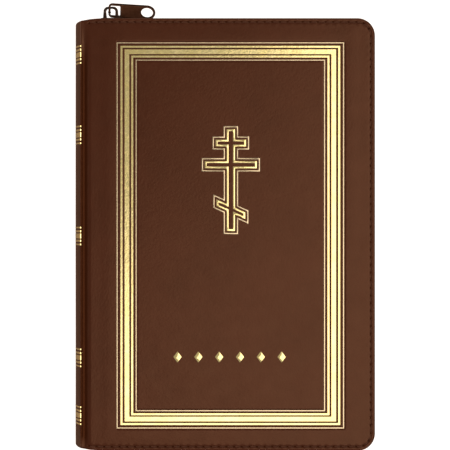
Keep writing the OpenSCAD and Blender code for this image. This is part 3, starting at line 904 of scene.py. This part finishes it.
class Paint:
    """A node material. Nodes' inputs are values or other nodes' outputs."""

    def __init__(self, name, **values):
        self.material = bpy.data.materials.new(name)
        self.material.use_nodes = True
        self.tree = self.material.node_tree
        self.shader = self.set(self.tree.nodes["Principled BSDF"], **values)

    def set(self, node, *inputs, **values):
        """Fills inputs by order or name. Names in lower case are settings."""
        for key, value in [*enumerate(inputs), *values.items()]:
            if isinstance(key, str) and key.islower():
                setattr(node, key, value)
                continue
            socket = node.inputs[key if isinstance(key, int) else key.replace("_", " ")]
            if isinstance(value, bpy.types.NodeSocket):
                self.tree.links.new(value, socket)
            elif value is not None:
                socket.default_value = value
        return node

    def node(self, kind, *inputs, **values):
        return self.set(self.tree.nodes.new("ShaderNode" + kind), *inputs, **values)

    def flat(self):
        return self.node("UVMap", uv_map="Flat").outputs["UV"]

    def place(self):
        return self.node("TexCoord").outputs["Object"]

    # The per-point value: painted shade and wear on leather, dullness on foil.
    def burnish(self):
        return self.node("Attribute", attribute_name="burnish").outputs["Fac"]

    def split(self, vector):
        return self.node("SeparateXYZ", vector).outputs[:2]

    def noise(self, vector, scale, detail=3.0, roughness=0.55):
        return self.node("TexNoise", Vector=vector, Scale=scale, Detail=detail,
                         Roughness=roughness).outputs["Fac"]

    def cells(self, vector, scale, smoothness=1.0):
        return self.node("TexVoronoi", feature="SMOOTH_F1", Vector=vector, Scale=scale,
                         Smoothness=smoothness).outputs["Distance"]

    def remap(self, value, low, high, to_low=0.0, to_high=1.0):
        return self.node("MapRange", value, low, high, to_low, to_high).outputs["Result"]

    def math(self, operation, a, b=0.0):
        return self.node("Math", a, b, operation=operation).outputs[0]

    def plus(self, a, b):
        return self.math("ADD", a, b)

    def times(self, a, b):
        return self.math("MULTIPLY", a, b)

    def wave(self, x, per_metre):
        return self.math("SINE", self.times(x, 2 * math.pi * per_metre))

    def mix(self, share, a, b):
        return self.node("Mix", share, *[None] * 5, a, b, data_type="RGBA").outputs[2]

    def finish(self, colour, height=None, bump_mm=0.0, strength=1.0, **values):
        """Gives the shader its colour, bumps and whatever else varies."""
        if height is not None:
            bump = self.node("Bump", Height=height, Distance=bump_mm / MM, Strength=strength)
            values["Normal"] = bump.outputs["Normal"]
        self.set(self.shader, Base_Color=colour, **values)
        return self.material


def leather_paint():
    p = Paint("leather", IOR=1.5)
    uv, burnish = p.flat(), p.burnish()
    broad = p.remap(p.noise(uv, 26, 4, 0.6), 0.36, 0.64)
    blotch = p.remap(p.noise(uv, 95, 5, 0.65), 0.38, 0.64)
    colour = p.mix(broad, srgb(60, 22, 9), srgb(68, 28, 14))
    colour = p.mix(p.times(blotch, 0.3), colour, srgb(73, 29, 15))
    colour = p.mix(p.remap(p.noise(uv, 900, 3), 0.35, 0.7, 0.0, 0.15), colour, srgb(48, 18, 8))
    colour = p.mix(p.remap(burnish, -1.0, -0.1, 0.6, 0.0), colour, srgb(98, 46, 30))
    # Painted shade: darker leather in the stitch holes, the joint's groove and the stamped lines.
    colour = p.mix(p.remap(burnish, 0.05, 1.0, 0.0, 0.93), colour, srgb(34, 10, 2))
    height = p.plus(p.times(p.cells(uv, 1050.0, 0.5), -0.55), p.times(p.noise(uv, 330, 4, 0.7), 0.9))
    height = p.plus(height, p.times(p.noise(uv, 3000, 2), 0.18))
    rough = p.remap(p.noise(uv, 140, 4), 0.3, 0.7, 0.2, 0.27)
    round_spine = p.remap(p.split(uv)[0], (SHOULDER_FROM - 1) / MM, SHOULDER_TO / MM, 0.3, 0.0)
    # The reflections' tint darkens with the painted shade as well.
    tint = p.mix(p.remap(burnish, 0.3, 0.9), (1.0, 0.5, 0.27, 1), (0.6, 0.13, 0.02, 1))
    return p.finish(colour, height, 0.1, 0.45, Roughness=p.plus(rough, round_spine), Specular_Tint=tint)


def foil_paint():
    p = Paint("gold_foil", Metallic=1.0)
    uv, dull = p.flat(), p.burnish()
    colour = p.mix(p.remap(p.noise(uv, 150, 5, 0.65), 0.35, 0.65), srgb(250, 222, 144), srgb(255, 229, 160))
    colour = p.mix(p.remap(p.noise(uv, 1500, 3), 0.66, 0.8, 0.0, 0.5), colour, srgb(170, 130, 70))
    colour = p.mix(dull, colour, srgb(212, 185, 145))
    rough = p.plus(p.remap(p.noise(uv, 500, 4), 0.3, 0.7, 0.11, 0.19), p.times(dull, 0.08))
    height = p.plus(p.noise(uv, 330, 4, 0.7), p.times(p.noise(uv, 1100, 2), 0.4))
    return p.finish(colour, height, 0.035, Roughness=rough)


def thread_paint():
    p = Paint("thread", Roughness=0.55, Specular_Tint=(1.0, 0.6, 0.4, 1))
    x, y = p.split(p.flat())
    twist = p.math("SINE", p.plus(p.times(x, 9000.0), p.times(y, 6300.0)))
    return p.finish(p.mix(p.remap(twist, -1, 1), srgb(62, 30, 18), srgb(90, 48, 30)), twist, 0.04)


def cloth_paint(name, per_metre, dark, light, bump_mm, **values):
    """A plain weave, with so many threads per metre."""
    p = Paint(name, **values)
    x, y = p.split(p.flat())
    cloth = p.times(p.wave(x, per_metre), p.wave(y, per_metre))
    return p.finish(p.mix(p.remap(cloth, -1, 1), dark, light), cloth, bump_mm)


def cloudy_paint(name, vector_of, noise, span, dark, light, fine=None, bump_mm=0.02, **values):
    """Two colours mixed by noise, with bumps from it or from finer noise."""
    p = Paint(name, **values)
    vector = vector_of(p)
    tone = p.noise(vector, *noise)
    height = (p.noise(vector, *fine) if fine else tone) if bump_mm else None
    return p.finish(p.mix(p.remap(tone, *span), dark, light), height, bump_mm)


def metal_paint(name, dark, light, rough):
    p = Paint(name, Metallic=1.0)
    spot = p.place()
    tone = p.noise(spot, 900, 5, 0.65)
    roughness = p.remap(p.noise(spot, 2500, 3), 0.3, 0.7, rough - 0.06, rough + 0.1)
    return p.finish(p.mix(p.remap(tone, 0.35, 0.68), dark, light), tone, 0.02, Roughness=roughness)


def paper_paint(name, light, dark, vector_of):
    p = Paint(name, Roughness=0.82)
    vector = vector_of(p)
    speck = p.noise(vector, 2200, 3)
    colour = p.mix(p.remap(p.noise(vector, 70, 4), 0.3, 0.7, 0, 0.6), light, dark)
    colour = p.mix(p.remap(speck, 0.55, 0.8, 0, 0.3), colour, dark)
    return p.finish(colour, speck, 0.02)


def leaf_edge_paint():
    """Page edges: fine lines along the leaves, at constant height."""
    p = Paint("leaf_edges", Roughness=0.85)
    stretched = p.node("Mapping", Vector=p.flat(), Scale=(0.01, 1.0, 1.0)).outputs[0]
    lines = p.noise(stretched, 5200, 2)
    return p.finish(p.mix(p.remap(lines, 0.3, 0.7), srgb(214, 201, 170), srgb(242, 234, 212)), lines, 0.04)


def lining_paint():
    p = Paint("lining", Roughness=0.6)
    spot = p.place()
    colour = p.mix(p.remap(p.noise(spot, 60, 4), 0.3, 0.7), srgb(62, 38, 27), srgb(80, 52, 38))
    return p.finish(colour, p.cells(spot, 1400.0), 0.06)


def band_paint():
    p = Paint("band_cloth", Roughness=0.7)
    x = p.split(p.flat())[0]
    colour = p.mix(p.remap(p.wave(x, 670.0), -0.25, 0.25), srgb(122, 38, 30), srgb(224, 205, 158))
    return p.finish(colour, p.wave(x, 2680.0), 0.05)


# ---------- the object ----------

leather, foil, thread = leather_paint(), foil_paint(), thread_paint()
leather_inside = cloudy_paint("leather_inside", Paint.flat, (400, 4), (0, 1), srgb(74, 48, 34),
                              srgb(98, 66, 48), (1500, 3), 0.08, Roughness=0.8)
tape = cloth_paint("zip_tape", 1100.0, srgb(66, 40, 27), srgb(96, 62, 44), 0.06,
                   Roughness=0.85, Sheen_Weight=0.3)
coil = cloudy_paint("zip_coil", Paint.flat, (300, 3), (0, 1), srgb(74, 44, 29), srgb(98, 61, 42), None, 0.0,
                    Roughness=0.38)
metal = metal_paint("zip_metal", srgb(40, 27, 21), srgb(78, 58, 46), 0.34)
# The pull tab's one painted metal in two copies: lighter painted light on its faces, darker painted shade on
# its edges and the thread under the crown.
tab_edge = metal_paint("tab_edge", srgb(22, 15, 12), srgb(46, 33, 26), 0.4)
tab_face = cloudy_paint("tab_face", Paint.place, (600, 4), (0.35, 0.68), srgb(92, 55, 35), srgb(110, 68, 46),
                        Roughness=0.42, Specular_Tint=(1.0, 0.7, 0.5, 1))
leaf_edges = leaf_edge_paint()
page_face = paper_paint("page_face", srgb(243, 237, 219), srgb(230, 221, 197), Paint.flat)
endpaper = paper_paint("endpaper", srgb(240, 234, 216), srgb(226, 217, 192), Paint.place)
lining, band = lining_paint(), band_paint()
board = cloudy_paint("board", Paint.place, (700, 5, 0.7), (0, 1), srgb(118, 108, 94), srgb(150, 140, 124),
                     (1600, 3), 0.05, Roughness=0.9)
mull = cloth_paint("mull", 420.0, srgb(176, 166, 142), srgb(226, 219, 200), 0.1, Roughness=0.9)


def metres(*mm):
    return tuple(v / MM for v in mm)


def keep(piece, nodes, body=None, bend=None):
    """Puts a piece on its body, or, when a bend is given, fixes it where it stands, in place of CAD nodes.
    """
    if bend:
        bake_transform(piece)
    else:
        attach(piece, body)
    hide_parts(*nodes)


BEND_FROM, BEND_TO = HINGE_X - 0.5, HINGE_X + 4.1  # places across the joint, kept in the bend tuples; keep() reads only whether a bend is given
FRONT_BEND = ("spine", "front_case", metres(BEND_FROM, 0, TOP), metres(BEND_TO, 0, TOP))
BACK_BEND = ("back_case", "spine", metres(BEND_TO, 0, 0), metres(BEND_FROM, 0, 0))

SEAM_TURN = math.asin((SEAM_Z - MID) / SPINE_R)
OVERLAP_TURN = math.asin((MID - SEAM_Z + 0.02) / SPINE_R)
skins = [leather, leather_inside]
keep(leather_piece("front_leather_case", SPINE_R * SEAM_TURN, True, skins),
     ["front_cover_leather", "front_joint_leather", "spine_leather"], bend=FRONT_BEND)
keep(leather_piece("back_leather_case", SPINE_R * OVERLAP_TURN, False, skins),
     ["back_cover_leather", "back_joint_leather"], bend=BACK_BEND)

for make, cad_node in ((foil_frame_piece, "foil_frame"), (foil_cross_piece, "foil_cross"),
                       (foil_lozenges_piece, "foil_ornaments")):
    keep(make([foil]), [cad_node], "front_case")
keep(spine_bands_piece([foil]), ["spine_foil_bands"], bend=FRONT_BEND)

for side, is_front in (("front", True), ("back", False)):
    for make, end, paint, slot, cad_end in ((stitching, "_threads", thread, "thread", "_stitching"),
                                            (zip_tape, "_tape", tape, "zip_tape", "_zip_tape"),
                                            (zip_coil, "_coil", coil, "zip_coil", "_zip_coil")):
        keep(make(side + end, is_front, [paint]), [side + cad_end], side + "_case")

keep(slider_piece([metal]), ["slider_body"], "slider")
keep(crown_piece([metal]), ["slider_crown"], "slider")
keep(tab_piece([tab_face, tab_edge]), ["pull_tab"], "pull")

pages_low, pages_high = corners("pages_6")[0][2], corners("pages_1")[1][2]
halves = {
    "front": (True, ["pages_1", "pages_2", "pages_3"],
              ("front_case", "section_3", metres(0, 0, pages_high), metres(0, 0, MID + 1))),
    "back": (False, ["pages_4", "pages_5", "pages_6"],
             ("back_case", "section_4", metres(0, 0, pages_low), metres(0, 0, MID - 1))),
}
for side, (is_front, nodes, bend) in halves.items():
    block = half_block(side + "_half_block", nodes, is_front, [leaf_edges, page_face])
    keep(block, nodes, bend=bend)
    keep(mull_half(side + "_mull", is_front, [mull]), ["spine_mull"], bend=bend)
    for cad_node in ("headband", "tailband"):
        keep(end_band(f"{side}_{cad_node}", cad_node, is_front, [band]), [cad_node], bend=bend)

NODE_PAINTS = {"board": board, "stiffener": board, "lining": lining, "flyleaf": endpaper, "zip_stops": metal}
for name, node in frame["nodes"].items():
    for key, paint in NODE_PAINTS.items():
        if key in name:
            node.data.materials.clear()
            node.data.materials.append(paint)
            round_off = node.modifiers.new("round_off", "BEVEL")
            round_off.width, round_off.segments = (0.2 if key == "zip_stops" else 0.05) / MM, 2

# ---------- stage, light and camera ----------

scene = bpy.context.scene
bpy.ops.mesh.primitive_plane_add(size=6, location=(0, 0, -0.0002))
floor = bpy.context.object
floor.name = "floor"
# The floor is bright white to look at, and a warm card to the light that it throws back.
floor_paint = Paint("floor", Base_Color=(0.45, 0.33, 0.22, 1), Roughness=0.9, Emission_Color=(1, 1, 1, 1))
seen = floor_paint.node("LightPath").outputs["Is Camera Ray"]
floor_paint.set(floor_paint.shader, Emission_Strength=seen)
floor.data.materials.append(floor_paint.material)

STUDIO_LIGHT = 0.38
world = bpy.data.worlds.new("studio")
world.use_nodes = True
background = world.node_tree.nodes["Background"].inputs
background["Color"].default_value, background["Strength"].default_value = (1, 1, 1, 1), STUDIO_LIGHT
scene.world = world

# One large softbox hangs level over the book. Its edge passes just beside the camera, so that the
# foil mirrors the softbox at the lower right and the dimmer studio at the upper left.
BOX_HEIGHT, BOX_SIZE, BOX_RADIANCE = 1.5, 1.2, 1.6
BOX_EDGE, BOX_SHIFT = -0.055, 0.27  # from over the book's centre to that edge, and along it
BOX_TURN = math.radians(-37)
BOX_REACH = BOX_EDGE + BOX_SIZE / 2


def softbox(name, location, radiance, size, rotation=None):
    """A square lamp. Without a rotation it faces the book."""
    data = bpy.data.lights.new(name, "AREA")
    data.shape, data.size, data.energy = "SQUARE", size, radiance * math.pi * size ** 2
    lamp = bpy.data.objects.new(name, data)
    lamp.location = location
    lamp.rotation_euler = rotation or (-Vector(location)).to_track_quat("-Z", "Y").to_euler()
    scene.collection.objects.link(lamp)


softbox("key", (BOX_REACH * math.cos(BOX_TURN) - BOX_SHIFT * math.sin(BOX_TURN),
                BOX_REACH * math.sin(BOX_TURN) + BOX_SHIFT * math.cos(BOX_TURN), BOX_HEIGHT),
        BOX_RADIANCE, BOX_SIZE, (0, 0, BOX_TURN))
softbox("left_fill", (-1.3, 0.15, 0.5), 2.6, 0.9)
softbox("front_fill", (0.8, -1.15, 0.6), 1.1, 0.9)
softbox("back_fill", (0.35, 1.3, 0.6), 1.1, 0.9)

# The camera looks straight down at the front cover, from a little over a metre.
CAMERA_HEIGHT = 1.15
VIEW_WIDTH = 218.25 / MM  # width of the view at the cover's face
camera_data = bpy.data.cameras.new("camera")
camera_data.sensor_width = 36
camera_data.lens = camera_data.sensor_width * CAMERA_HEIGHT / VIEW_WIDTH
scene.camera = bpy.data.objects.new("camera", camera_data)
scene.camera.location = (0, 0.0046, TOP / MM + CAMERA_HEIGHT)
scene.collection.objects.link(scene.camera)
scene.view_settings.view_transform = "Standard"
